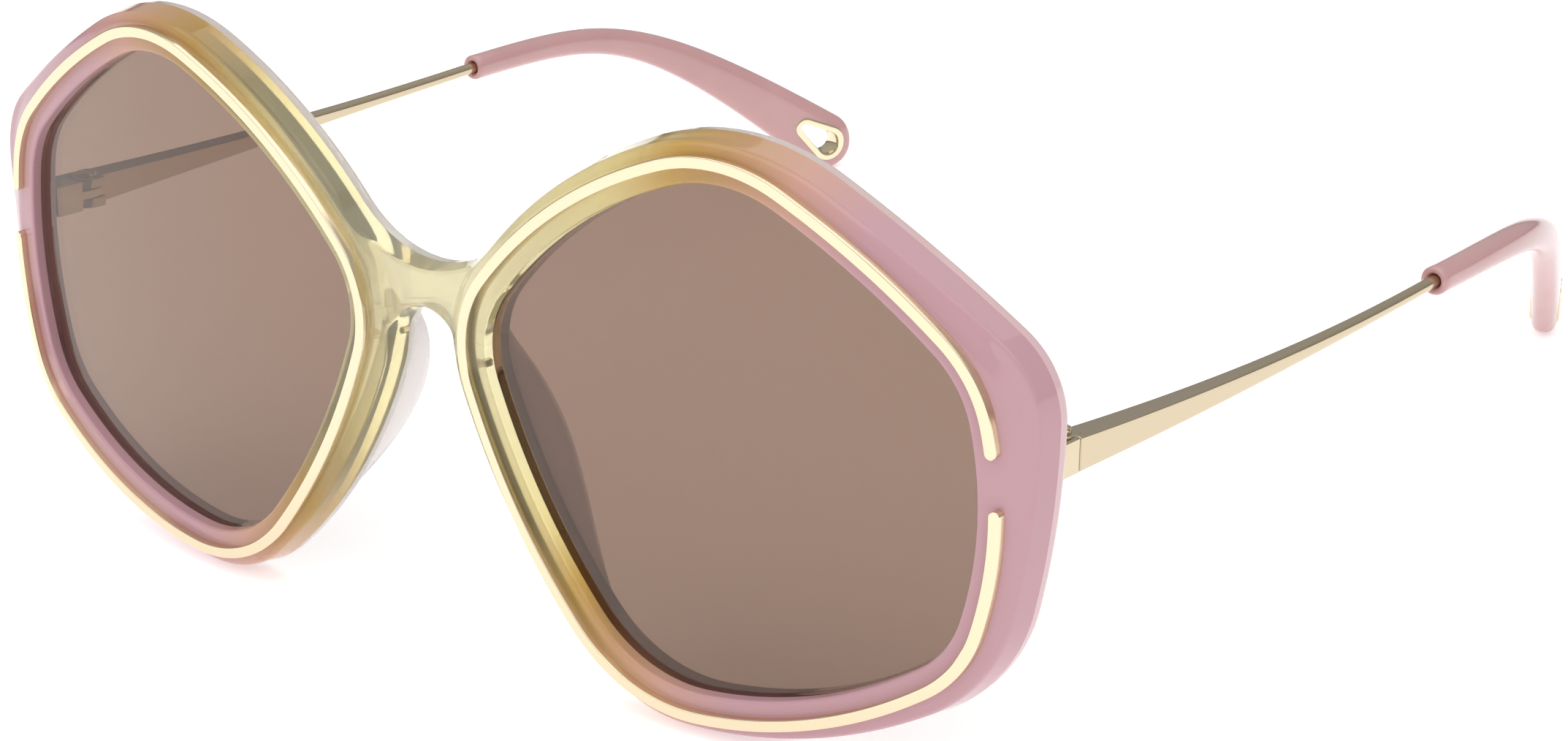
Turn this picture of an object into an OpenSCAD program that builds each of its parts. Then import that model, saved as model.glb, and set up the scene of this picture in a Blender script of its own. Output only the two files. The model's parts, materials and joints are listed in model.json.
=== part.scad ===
// Oversized five-sided sunglasses: laminated plastic front with metal strip inlays,
// tinted lenses, glued nose pads, metal hinges and tapered metal temples with plastic tips.
// Millimetres. X points to the wearer's left, Y to the rear, Z up.
// The glasses stand open on the two rim bottoms and the two temple tips.

/* [Front] */
// distance between the centres of the two rims
rim_pitch = 66.6; // [60:0.2:72]
// radius of each half of the front, seen from above
front_curve = 264; // [180:2:400]
// half width of the flat middle of the front
flat_half = 11.6; // [6:0.2:20]
// how far the metal strip stands out of the front face
strip_proud = 0.9; // [0.3:0.1:1.4]
// thickness of the coloured front layer
front_layer = 3.4; // [2.8:0.1:5]
// thickness of the pale rear layer
rear_layer = 1.6; // [0.8:0.1:3]
// growth of the rim beyond the edge of its front face
rim_flare = 0.4; // [0:0.1:1]
// angle by which the foot of the front leans to the rear
front_lean = 2.1; // [0:0.1:5]

/* [Bridge] */
// height of the top of the bridge at its middle
bridge_top = 0; // [-4:0.1:4]
// height of the underside of the bridge at its middle
bridge_under = -5; // [-9:0.1:-3]
// how far the bridge's front face lies behind those of the rims
bridge_recess = 1.2; // [0:0.1:1.8]

/* [Metal strip] */
// width of the strip
strip_w = 1.2; // [0.8:0.1:2]
// clearance between the strip and its channel
strip_gap = 0.03; // [0.02:0.01:0.06]
// depth of the channel that holds the strip
channel_depth = 1; // [0.5:0.1:1.5]
// height of the upper end of the strip
strip_end_high = -5.5; // [-8:0.1:0]
// height of the lower end of the strip
strip_end_low = -11.4; // [-16:0.1:-9]
// radius of a locating peg
peg_r = 0.5; // [0.3:0.05:0.6]
// length of a locating peg
peg_len = 1.3; // [0.8:0.1:2]

/* [Lenses] */
// distance from the strip's centre line in to the edge of the opening
opening_in = 2.3; // [1.8:0.1:4]
// depth of the lens seat in the rim
seat = 0.8; // [0.4:0.1:1.2]
// lens thickness
lens_t = 2; // [1.6:0.1:2.4]

/* [Nose pads] */
// greatest height of a pad behind the rim
pad_h = 6.1; // [3:0.1:9]
// half thickness of a pad
pad_half = 1.7; // [1:0.1:2.4]
// height of the top end of a pad
pad_top = -4.5; // [-8:0.5:-2]
// height of the bottom end of a pad
pad_bottom = -34.5; // [-36:0.5:-28]

/* [Hinges] */
// distance from the middle plane to the outer face of an endpiece
hinge_out = 70.3; // [66:0.1:72]
// height of the hinge
hinge_z = -8; // [-12:0.1:0]
// rear end of the endpiece, where the temple butts against it
hinge_y = 17.3; // [15:0.1:22]
// height of the endpiece and of the temple's front end
hinge_h = 3.5; // [3:0.1:5]
// radius of the knuckles
knuckle_r = 1.7; // [1.5:0.05:2.2]
// distance from the outer face in to the hinge pin
pin_in = 2.4; // [2:0.1:3]
// shank radius of the hinge screw
screw_r = 0.6; // [0.5:0.05:0.8]
// thickness of the middle tongue
tongue_t = 1; // [0.8:0.1:1.4]

/* [Temples] */
// distance from the hinge to the front end of the plastic tip
blade_len = 66.3; // [50:0.1:80]
// rise of the temple over that length
blade_rise = 1.4; // [-4:0.1:6]
// how far the temple bows outwards at half its length
blade_bow = 0.6; // [0:0.1:1.5]
// how far it sags below a straight line there
blade_sag = 0.5; // [0:0.1:1.5]
// thickness of the temple behind the hinge
blade_t = 3; // [2:0.1:3.4]
// radius of the round rod at the tip
rod_r = 0.7; // [0.6:0.05:1.2]
// length of rod held inside the tip
rod_in = 10; // [5:0.5:20]

/* [Temple tips] */
// run of the tip to the rear, to the centre of its round end
tip_run = 56.2; // [40:0.2:70]
// drop of that centre below the front of the tip
tip_drop = 18.6; // [8:0.1:30]
// inward offset of that centre
tip_inward = 14.2; // [4:0.1:20]
// angle by which the end points inward
tip_toe = 25; // [0:1:50]
// angle by which the end points down
tip_pitch = 35; // [20:1:60]
// half width of the paddle at the end
paddle_half = 4; // [3.2:0.1:5]
// half thickness of the paddle
paddle_t = 1.75; // [1.4:0.05:2.2]
// radius of the tip at its front end
tip_r = 1.6; // [1.2:0.05:2]

/* [Eyelets] */
// outer radius of the big end of the eyelet ring
eyelet_r = 2.5; // [2.2:0.05:3.2]
// outer radius of the small end
eyelet_small = 1.5; // [1.2:0.05:2]
// distance between the two centres
eyelet_run = 4.3; // [3:0.1:5]
// wall of the eyelet ring
eyelet_wall = 0.9; // [0.5:0.05:1.1]

/* [Hidden] */
$fn = 96;

// colours
acetate = [0.86, 0.66, 0.62];
pale_pink = [0.92, 0.8, 0.8];
tint = [0.5, 0.38, 0.33, 0.8];
gold = [0.9, 0.8, 0.58];
dusty_pink = [0.82, 0.6, 0.6];

// corner of a five-sided outline: [x, z, radius], sides joined by arcs of radius bulge
strip_corner = [[-14.2, -6.8, 11.9], [1.7, -21.7, 18.1], [21.1, -20.4, 12.8],
    [20.4, -5.9, 14.2], [5.4, 1, 17]];
strip_bulge = [73, 51, 43, 77, 54];
rim_corner = [[-15.1, -7.6, 13.5], [0.4, -26, 15.5], [18.8, -18.6, 17.9],
    [28.2, -3.2, 10.4], [5.5, -3.3, 23.1]];
rim_bulge = [65, 54, 99, 132, 53];

arc_steps = 12;
face_y = -0.9;
// height about which the front leans
lean_height = 10;
// clearance round glued and pressed-in parts
snug = 0.02;
frame_front = strip_proud;
frame_mid = frame_front + front_layer;
frame_back = frame_mid + rear_layer;
lens_front = frame_mid - lens_t - 0.1;
pin_x = hinge_out - pin_in;
foot_y = 8.6;
rod_y = hinge_y + blade_len;
rod_z = hinge_z + blade_rise;
rod_x = hinge_out + 0.3;
tip_end = [rod_x - tip_inward, rod_y + tip_run, rod_z - tip_drop];
// the stance: rim bottom and tip bottom touch the same flat surface
rim_low = rim_corner[1][1] - rim_corner[1][2] - rim_flare;
rim_low_x = rim_pitch / 2 + rim_corner[1][0];
rim_foot = leaned([rim_low_x, surface_y(rim_low_x) + frame_back, rim_low]);
stance = atan((tip_end[2] - paddle_half - rim_foot[2]) / (tip_end[1] - rim_foot[1]));
// placement of the standing glasses about the origin
shift_y = -69.17;
shift_z = 42.21;

// y of the front reference surface at a distance x from the middle
function surface_y(x) = x < flat_half ? face_y
    : face_y + front_curve - sqrt(pow(front_curve, 2) - pow(x - flat_half, 2));

// a point of the upright front, moved to where the lean puts it
function leaned(p) = let (up = p[2] - lean_height)
    [p[0], p[1] * cos(front_lean) - up * sin(front_lean),
        lean_height + p[1] * sin(front_lean) + up * cos(front_lean)];

function unit(v) = v / norm(v);
function flat(c) = [c[0], c[1]];
// centre of the arc that touches two corner circles from outside
function arc_centre(a, b, big) =
    let (ra = big - a[2], rb = big - b[2], v = flat(b) - flat(a), l = norm(v), u = v / l)
    let (t = (ra * ra - rb * rb + l * l) / (2 * l))
    flat(a) + u * t + [-u[1], u[0]] * sqrt(ra * ra - t * t);
function touch(centre, corner, big) = centre + unit(flat(corner) - centre) * big;

// points along an arc about c from point a to point b, without the last one
function arc(c, r, a, b, steps = arc_steps) =
    let (g = atan2(a[1] - c[1], a[0] - c[0]), h = atan2(b[1] - c[1], b[0] - c[0]))
    let (turn = (h - g + 720) % 360)
    [for (k = [0:steps - 1]) c + r * [cos(g + turn * k / steps), sin(g + turn * k / steps)]];

// five-sided outline with arcs for sides and corners, grown by d
module five_sided(corner, bulge, d) {
    centre = [for (i = [0:4]) arc_centre(corner[i], corner[(i + 1) % 5], bulge[i])];
    first = [for (i = [0:4]) touch(centre[i], corner[i], bulge[i] + d)];
    last = [for (i = [0:4]) touch(centre[i], corner[(i + 1) % 5], bulge[i] + d)];
    polygon([for (i = [0:4]) each concat(
        arc(flat(corner[i]), corner[i][2] + d, last[(i + 4) % 5], first[i]),
        arc(centre[i], bulge[i] + d, first[i], last[i]))]);
}

// an outline drawn in X and Z, standing up and running through Y
module upright() {
    rotate([90, 0, 0])
        linear_extrude(height = 90, center = true)
            children();
}

module leaning() {
    translate([0, 0, lean_height])
        rotate([front_lean, 0, 0])
            translate([0, 0, -lean_height])
                children();
}

module left_side() {
    translate([rim_pitch / 2, 0])
        children();
}

module both_sides() {
    children();
    mirror([1, 0, 0])
        children();
}

// plan of everything behind the curved front surface moved back by d
module behind(d) {
    union() {
        translate([-flat_half, face_y + d])
            square([2 * flat_half, 60]);
        both_sides()
            intersection() {
                translate([flat_half, face_y + front_curve])
                    circle(r = front_curve - d, $fn = 200);
                translate([flat_half, -20])
                    square([80, 60 + face_y + d + 20]);
            }
    }
}

module behind_solid(d) {
    translate([0, 0, -60])
        linear_extrude(height = 100)
            behind(d);
}

module curved_slab(d1, d2) {
    translate([0, 0, -60])
        linear_extrude(height = 100)
            difference() {
                behind(d1);
                behind(d2);
            }
}

// x of the strip's centre line on its outer side, and on its nose side
function strip_out_x(z) =
    let (c = arc_centre(strip_corner[2], strip_corner[3], strip_bulge[2]))
    rim_pitch / 2 + c[0] + sqrt(pow(strip_bulge[2], 2) - pow(z - c[1], 2));
function strip_nose_x(z) =
    let (k = strip_corner[0], c = arc_centre(k, strip_corner[1], strip_bulge[0]))
    let (t = touch(c, k, strip_bulge[0]))
    rim_pitch / 2 + (z > t[1] ? k[0] - sqrt(pow(k[2], 2) - pow(z - k[1], 2))
        : c[0] - sqrt(pow(strip_bulge[0], 2) - pow(z - c[1], 2)));

// radius of the arc on the middle plane that touches a rim arc with centre c and radius r,
// where the middle of the blend lies a height rise from that centre
function blend_r(c, r, rise) = (c[0] * c[0] + rise * rise - r * r) / (2 * (r - rise));
function other_side(p) = [-p[0], p[1]];

// the saddle runs into the top sides of the rims, the arch into their nose corners
module bridge_outline() {
    top_c = arc_centre(rim_corner[4], rim_corner[0], rim_bulge[4]) + [rim_pitch / 2, 0];
    nose_c = flat(rim_corner[0]) + [rim_pitch / 2, 0];
    saddle_r = blend_r(top_c, rim_bulge[4] + rim_flare, bridge_top - top_c[1]);
    arch_r = blend_r(nose_c, rim_corner[0][2] + rim_flare, nose_c[1] - bridge_under);
    saddle_c = [0, bridge_top + saddle_r];
    arch_c = [0, bridge_under - arch_r];
    high = touch(saddle_c, top_c, saddle_r);
    low = touch(arch_c, nose_c, arch_r);
    polygon(concat(
        arc(saddle_c, saddle_r, other_side(high), high),
        [high, nose_c],
        arc(arch_c, arch_r, low, other_side(low)),
        [other_side(low), other_side(nose_c)]));
}

module rims() {
    both_sides()
        upright()
            left_side()
                five_sided(rim_corner, rim_bulge, rim_flare);
}

// the whole front without its curve: bridge and two rims with their openings
module front_block() {
    difference() {
        union() {
            upright()
                bridge_outline();
            rims();
        }
        both_sides()
            upright()
                left_side()
                    five_sided(strip_corner, strip_bulge, -opening_in);
    }
}

// what is missing in front of the bridge, which lies deeper than the rims
module bridge_relief() {
    difference() {
        intersection() {
            curved_slab(0, frame_front + bridge_recess);
            translate([-9.4, -20, -12])
                cube([18.8, 40, 18]);
        }
        rims();
    }
}

module strip_outline(half) {
    union() {
        difference() {
            left_side()
                five_sided(strip_corner, strip_bulge, half);
            left_side()
                five_sided(strip_corner, strip_bulge, -half);
            translate([rim_pitch / 2 + 25, strip_end_low])
                square([20, strip_end_high - strip_end_low]);
        }
        for (z = [strip_end_low, strip_end_high])
            translate([strip_out_x(z), z])
                circle(r = half);
    }
}

// the five places where a peg locates the strip: [x, z]
pegs = [[strip_nose_x(-9), -9],
    [rim_pitch / 2 + strip_corner[1][0], strip_corner[1][1] - strip_corner[1][2]],
    [strip_out_x(-13), -13], [strip_out_x(-4.5), -4.5],
    [rim_pitch / 2 + strip_corner[4][0], strip_corner[4][1] + strip_corner[4][2]]];

module peg_set(r, extra) {
    for (p = pegs)
        translate([p[0], surface_y(p[0]) + frame_front + channel_depth + peg_len + extra, p[1]])
            rotate([90, 0, 0])
                cylinder(r = r, h = peg_len + extra);
}

// foot of the endpiece, set into the back of the rim
module foot(grow) {
    translate([hinge_out - 2.9 - grow, foot_y - grow, hinge_z - 1.4 - grow])
        cube([2.6 + 2 * grow, 4 + grow, 2.8 + 2 * grow]);
}

module front_frame() {
    color(acetate)
        difference() {
            leaning()
                difference() {
                    intersection() {
                        curved_slab(frame_front, frame_mid);
                        front_block();
                    }
                    bridge_relief();
                    both_sides() {
                        intersection() {
                            curved_slab(lens_front, frame_mid + 1);
                            upright()
                                left_side()
                                    five_sided(strip_corner, strip_bulge, seat - opening_in);
                        }
                        intersection() {
                            curved_slab(0, frame_front + channel_depth);
                            upright()
                                strip_outline(strip_w / 2 + strip_gap);
                        }
                        peg_set(peg_r + snug, 0.1);
                    }
                }
            both_sides()
                foot(snug);
        }
}

module rear_laminate() {
    color(pale_pink)
        difference() {
            leaning()
                intersection() {
                    curved_slab(frame_mid, frame_back);
                    front_block();
                }
            both_sides()
                foot(snug);
        }
}

module lens() {
    color(tint)
        leaning()
            intersection() {
                curved_slab(lens_front, lens_front + lens_t);
                upright()
                    left_side()
                        five_sided(strip_corner, strip_bulge, seat - 0.05 - opening_in);
            }
}

module rim_strip() {
    color(gold)
        leaning()
            intersection() {
                curved_slab(0, frame_front + channel_depth);
                upright()
                    strip_outline(strip_w / 2);
            }
}

module strip_pegs() {
    color(gold)
        leaning()
            intersection() {
                peg_set(peg_r, 0);
                behind_solid(frame_front + channel_depth + snug);
            }
}

// closed skin over a list of rings with the same number of points
module skin(rings) {
    n = len(rings[0]);
    m = len(rings);
    polyhedron(
        points = [for (r = rings) for (p = r) p],
        faces = concat(
            [[for (k = [0:n - 1]) k]],
            [for (j = [0:m - 2]) for (k = [0:n - 1])
                [j * n + k, (j + 1) * n + k, (j + 1) * n + (k + 1) % n]],
            [for (j = [0:m - 2]) for (k = [0:n - 1])
                [j * n + k, (j + 1) * n + (k + 1) % n, j * n + (k + 1) % n]],
            [[for (k = [n - 1:-1:0]) (m - 1) * n + k]]));
}

// rounded cross section: centre p, half axes a and b as vectors, squareness q
function bent(v, q) = sign(v) * pow(abs(v), 2 / q);
function ring(p, a, b, q, n = 24) =
    [for (k = [0:n - 1]) let (g = (k + 0.5) * 360 / n) p + a * bent(cos(g), q) + b * bent(sin(g), q)];

function curve(c, t) = c[0] * pow(1 - t, 3) + 3 * c[1] * t * pow(1 - t, 2)
    + 3 * c[2] * t * t * (1 - t) + c[3] * pow(t, 3);
function heading(c, t) = unit((c[1] - c[0]) * pow(1 - t, 2) + 2 * (c[2] - c[1]) * t * (1 - t)
    + (c[3] - c[2]) * t * t);
function sideways(d) = unit([d[1], -d[0], 0]);
function upward(d) = cross(sideways(d), d);

// centre line of the left tip
end_dir = [-sin(tip_toe) * cos(tip_pitch), cos(tip_toe) * cos(tip_pitch), -sin(tip_pitch)];
rod_slope = 1.5;
tip_line = [[rod_x, rod_y, rod_z], [rod_x, rod_y + 26, rod_z + 26 * tan(rod_slope)],
    tip_end - 35 * end_dir, tip_end];

// pads: height of the fin and lean of its crest along the pad, u from 0 at the top to 1
function fin(u) = pad_h * pow(sin(180 * pow(u, 0.86)), 1.1);
function pad_x(u) = strip_nose_x(pad_z(u)) + 0.6;
function pad_z(u) = pad_top + (pad_bottom - pad_top) * u;
function pad_base(u) = [pad_x(u), surface_y(pad_x(u)) + frame_back - 1.2, pad_z(u)];
function pad_tip(u) = pad_base(u) + [2 * u * u - 1.9 * u - 0.5, fin(u) + 1.2, 0];

module nose_pad() {
    color(pale_pink)
        leaning()
            intersection() {
                skin([for (i = [0:16])
                    let (u = 0.02 + 0.96 * i / 16, f = pad_tip(u) - pad_base(u))
                    let (path = unit(pad_base(u + 0.02) - pad_base(u - 0.02)))
                    ring((pad_tip(u) + pad_base(u)) / 2, f / 2,
                        unit(cross(path, f)) * pad_half * (0.55 + 0.45 * sin(180 * u)), 2.3, 20)]);
                behind_solid(frame_back);
            }
}

module at_hinge() {
    translate([pin_x, hinge_y, hinge_z])
        children();
}

module endpiece() {
    color(gold)
        difference() {
            union() {
                foot(0);
                intersection() {
                    translate([pin_x - knuckle_r, 9, hinge_z - hinge_h / 2])
                        cube([pin_in + knuckle_r, hinge_y - knuckle_r - 0.4 - 9, hinge_h]);
                    leaning()
                        behind_solid(frame_back);
                }
                translate([hinge_out - 0.55, 14, hinge_z - hinge_h / 2])
                    cube([0.55, hinge_y - 0.05 - 14, hinge_h]);
                translate([pin_x - knuckle_r, 14, hinge_z - tongue_t / 2])
                    cube([2 * knuckle_r, hinge_y - 14, tongue_t]);
                at_hinge()
                    cylinder(r = knuckle_r, h = tongue_t, center = true);
            }
            at_hinge()
                cylinder(r = screw_r + 0.05, h = 5, center = true);
        }
}

module hinge_screw() {
    color(gold)
        difference() {
            at_hinge()
                union() {
                    translate([0, 0, -hinge_h / 2])
                        cylinder(r = screw_r, h = hinge_h + 0.2);
                    translate([0, 0, hinge_h / 2])
                        cylinder(r = screw_r * 1.9, h = 0.5);
                }
            at_hinge()
                translate([-2, -0.15, hinge_h / 2 + 0.25])
                    cube([4, 0.3, 1]);
        }
}

module temple() {
    ear = (hinge_h - tongue_t) / 2 - 0.05;
    start = [hinge_out - blade_t / 2, hinge_y + 0.05, hinge_z];
    stop = [rod_x, rod_y, rod_z];
    color(gold)
        difference() {
            union() {
                skin([for (i = [0:14])
                    let (u = i / 14, k = pow(1 - u, 2), bow = 4 * u * (1 - u))
                    ring(start + (stop - start) * u + [blade_bow, 0, -blade_sag] * bow,
                        [0, 0, rod_r + (hinge_h / 2 - rod_r) * k],
                        [rod_r + (blade_t / 2 - rod_r) * k, 0, 0], 2 + 10 * pow(1 - u, 3))]);
                for (z = [hinge_h / 2 - ear, -hinge_h / 2])
                    translate([0, 0, z]) {
                        at_hinge()
                            cylinder(r = knuckle_r, h = ear);
                        translate([pin_x - knuckle_r, hinge_y, hinge_z])
                            cube([2 * knuckle_r, 2.4, ear]);
                    }
                translate(stop)
                    rotate([-90 + rod_slope, 0, 0])
                        translate([0, 0, -0.5])
                            cylinder(r = rod_r, h = rod_in + 0.5);
            }
            at_hinge()
                cylinder(r = screw_r + 0.01, h = 5, center = true);
            at_hinge()
                cylinder(r = knuckle_r + 0.25, h = tongue_t + 0.1, center = true);
            translate([pin_x - 6, hinge_y - 3, hinge_z - tongue_t / 2 - 0.05])
                cube([6, 7, tongue_t + 0.1]);
        }
}

module temple_tip() {
    steps = 18;
    round_steps = 6;
    color(dusty_pink)
        difference() {
            skin(concat(
                [for (i = [0:steps])
                    let (t = i / steps, d = heading(tip_line, t))
                    let (a = tip_r + (paddle_half - tip_r) * pow(t, 3))
                    let (b = tip_r + (paddle_t - tip_r) * t)
                    ring(curve(tip_line, t), upward(d) * a, sideways(d) * b, 2 + t)],
                [for (i = [1:round_steps])
                    let (g = 84 * i / round_steps, s = sideways(end_dir), w = upward(end_dir))
                    ring(tip_end + end_dir * paddle_half * sin(g), w * paddle_half * cos(g),
                        s * paddle_t * (0.3 + 0.7 * pow(cos(g), 0.6)), 3)]));
            translate([rod_x, rod_y, rod_z])
                rotate([-90 + rod_slope, 0, 0])
                    translate([0, 0, -1])
                        cylinder(r = rod_r + snug, h = rod_in + 1);
            eyelet_place()
                teardrop(0, 8);
        }
}

// frame with Z along the paddle's thickness and X towards the end of the tip
module eyelet_place() {
    translate(tip_end)
        rotate([0, 0, 90 + tip_toe])
            rotate([0, tip_pitch, 0])
                rotate([90, 0, 0])
                    children();
}

// teardrop: a big and a small circle joined by their common tangents
module drop(big, small) {
    lean = asin((big - small) / eyelet_run);
    up = [-sin(lean), cos(lean)];
    down = [-sin(lean), -cos(lean)];
    tail = [-eyelet_run, 0];
    polygon(concat(
        arc([0, 0], big, down * big, up * big, 24),
        [up * big],
        arc(tail, small, tail + up * small, tail + down * small, 12),
        [tail + down * small]));
}

module teardrop(inset, t) {
    linear_extrude(height = t, center = true)
        drop(eyelet_r - inset, eyelet_small - inset);
}

module tip_eyelet() {
    color(gold)
        eyelet_place()
            difference() {
                teardrop(0, 2 * paddle_t + 0.1);
                teardrop(eyelet_wall, 10);
            }
}

// the standing pose
module standing() {
    translate([0, shift_y, shift_z])
        rotate([-stance, 0, 0])
            children();
}

module right_of() {
    mirror([1, 0, 0])
        children();
}

standing() front_frame();
standing() rear_laminate();
standing() lens();  // left_lens
standing() right_of() lens();  // right_lens
standing() nose_pad();  // left_nose_pad
standing() right_of() nose_pad();  // right_nose_pad
standing() rim_strip();  // left_rim_strip
standing() right_of() rim_strip();  // right_rim_strip
standing() strip_pegs();  // left_strip_pegs
standing() right_of() strip_pegs();  // right_strip_pegs
standing() endpiece();  // left_endpiece
standing() right_of() endpiece();  // right_endpiece
standing() hinge_screw();  // left_hinge_screw
standing() right_of() hinge_screw();  // right_hinge_screw
standing() temple();  // left_temple
standing() right_of() temple();  // right_temple
standing() temple_tip();  // left_temple_tip
standing() right_of() temple_tip();  // right_temple_tip
standing() tip_eyelet();  // left_tip_eyelet
standing() right_of() tip_eyelet();  // right_tip_eyelet
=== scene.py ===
import json
import math

import bmesh
import bpy
import numpy as np
from mathutils import Matrix, Vector


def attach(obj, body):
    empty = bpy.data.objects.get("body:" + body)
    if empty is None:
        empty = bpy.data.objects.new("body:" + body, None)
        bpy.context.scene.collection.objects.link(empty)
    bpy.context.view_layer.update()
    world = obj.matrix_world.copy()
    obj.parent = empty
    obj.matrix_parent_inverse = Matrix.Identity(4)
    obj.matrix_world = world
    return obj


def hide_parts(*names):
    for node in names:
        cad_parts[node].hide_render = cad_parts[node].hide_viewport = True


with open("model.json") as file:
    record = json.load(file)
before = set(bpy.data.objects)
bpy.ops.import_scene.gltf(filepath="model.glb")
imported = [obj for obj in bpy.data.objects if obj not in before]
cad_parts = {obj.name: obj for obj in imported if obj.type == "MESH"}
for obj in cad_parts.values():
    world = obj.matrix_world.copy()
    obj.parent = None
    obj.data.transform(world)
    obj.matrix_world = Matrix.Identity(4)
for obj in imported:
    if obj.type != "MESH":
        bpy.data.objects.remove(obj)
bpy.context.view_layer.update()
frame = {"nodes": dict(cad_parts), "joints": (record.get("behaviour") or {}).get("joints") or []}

MM = 0.001

# ---------------------------------------------------------------- design sizes, millimetres
HALF_PITCH = 33.3
FACE_Y, CURVE_R, FLAT_HALF = -0.9, 264.0, 11.6
STRIP_PROUD, FRONT_LAYER, REAR_LAYER = 0.9, 3.4, 1.6
FRAME_FRONT = STRIP_PROUD
FRAME_MID = FRAME_FRONT + FRONT_LAYER
FRAME_BACK = FRAME_MID + REAR_LAYER
LENS_FRONT, LENS_T = 2.2, 2.0
STRIP_HALF, CHANNEL_DEPTH = 0.6, 1.0
STRIP_END_HIGH, STRIP_END_LOW = -5.5, -11.4
OPENING_IN = 2.3
RIM_FLARE = 0.4
CENTRE_OUT, CENTRE_HEIGHT = 1.5, -11.0
FALL_SLOPE, FALL_DEPTH = 0.34, 0.75
FRONT_LEAN, LEAN_HEIGHT = math.radians(2.1), 10.0
BRIDGE_TOP, BRIDGE_UNDER, BRIDGE_RECESS = 0.0, -5.0, 1.2
HINGE = np.array([67.9, 17.3, -8.0])
HINGE_OUT, HINGE_H, BLADE_T, BLADE_BOW, BLADE_SAG = 70.3, 3.5, 3.0, 0.6, 0.5
KNUCKLE_R, TONGUE_T, EAR_RUN = 1.7, 1.0, 1.2
ROD_START = np.array([70.6, 83.6, -6.6])
TIP_RUN, TIP_DROP, TIP_INWARD = 56.2, 18.6, 14.2
TIP_TOE, TIP_PITCH = math.radians(25), math.radians(35)
ROD_SLOPE, ROD_R = math.radians(1.5), 0.7
PADDLE_HALF, PADDLE_T, TIP_R = 4.0, 1.75, 1.6
EYELET_R, EYELET_SMALL, EYELET_RUN, EYELET_WALL, EYELET_PROUD = 2.5, 1.5, 4.3, 0.9, 0.08

# corners of the five-sided outlines: x from the rim's centre, z, radius; then the radii of the sides
STRIP_CORNERS = [(-14.2, -6.8, 11.9), (1.7, -21.7, 18.1), (21.1, -20.4, 12.8), (20.4, -5.9, 14.2),
                 (5.4, 1.0, 17.0)]
STRIP_SIDES = [73.0, 51.0, 43.0, 77.0, 54.0]
RIM_CORNERS = [(-15.1, -7.6, 13.5), (0.4, -26.0, 15.5), (18.8, -18.6, 17.9), (28.2, -3.2, 10.4),
               (5.5, -3.3, 23.1)]
RIM_SIDES = [65.0, 54.0, 99.0, 132.0, 53.0]

# rounded edges, millimetres
FRONT_EASE, OPENING_EASE, REAR_EASE, REAR_OPENING_EASE = 0.45, 0.35, 0.8, 0.4
STRIP_EASE, EYELET_EASE, BLADE_EASE, EAR_EASE = 0.1, 0.15, 0.15, 0.12
ENDPIECE_EASE, SCREW_EASE = 0.12, 0.06

# how far a piece stays clear of its neighbour, and how far one reaches into it, millimetres
LAYER_GAP, ROD_GAP, EAR_GAP, BLADE_GAP = 0.005, 0.03, 0.05, 0.05
LENS_LAP, EYELET_LAP = 0.02, 0.05

# fineness of the meshes: steps along an outline in millimetres, then numbers of rows and points
EDGE_STEP, FINE_STEP, STRIP_STEP, LENS_STEP = 0.6, 0.3, 0.35, 0.5
FACE_ROWS, SLOPE_ROWS, BACK_ROWS, BEVEL_STEPS = 10, 7, 6, 4
ARCH_POINTS, TOP_POINTS, SADDLE_POINTS, CUT_POINTS = 14, 28, 22, 9
LENS_RINGS, PAD_RINGS, TIP_RINGS, TIP_END_RINGS, BLADE_RINGS = 15, 60, 90, 14, 110
PAD_SIDES, TIP_SIDES, BLADE_SIDES = 40, 40, 48
DROP_BIG_POINTS, DROP_SMALL_POINTS, EAR_POINTS = 30, 16, 24


# ---------------------------------------------------------------- placing the design in the row's frame
left_joint = next(j for j in frame["joints"] if j["name"] == "left_hinge_fold")
STANCE = math.atan2(left_joint["axis"][1], left_joint["axis"][2])
TILT = np.array([[1, 0, 0],
                 [0, math.cos(STANCE), math.sin(STANCE)],
                 [0, -math.sin(STANCE), math.cos(STANCE)]])
SHIFT = np.array(left_joint["pos_m"]) - TILT @ HINGE * MM


def place(points):
    """Design millimetres to metres in the row's frame."""
    return np.asarray(points, float) @ TILT.T * MM + SHIFT


def leaned(points):
    """Points of the upright front, moved to where the lean puts them."""
    p = np.array(points, float)
    y, up = p[:, 1].copy(), p[:, 2] - LEAN_HEIGHT
    p[:, 1] = y * math.cos(FRONT_LEAN) - up * math.sin(FRONT_LEAN)
    p[:, 2] = LEAN_HEIGHT + y * math.sin(FRONT_LEAN) + up * math.cos(FRONT_LEAN)
    return p


def surface_y(x):
    """Depth of the curved reference surface: flat across the bridge, then an arc towards each side."""
    return FACE_Y + CURVE_R - np.sqrt(CURVE_R ** 2 - np.maximum(np.abs(x) - FLAT_HALF, 0) ** 2)


# ---------------------------------------------------------------- outlines
def unit(v):
    return np.asarray(v, float) / np.linalg.norm(v)


def arc(c, r, a, b, n):
    """n points along an arc from angle a to angle b, radians, without the last one."""
    t = a + (b - a) * np.arange(n) / n
    return np.stack([c[0] + r * np.cos(t), c[1] + r * np.sin(t)], 1)


def angle(v):
    return math.atan2(v[1], v[0])


def after(a, b):
    """b turned by whole circles until it follows a counter-clockwise."""
    while b < a:
        b += 2 * math.pi
    return b


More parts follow.
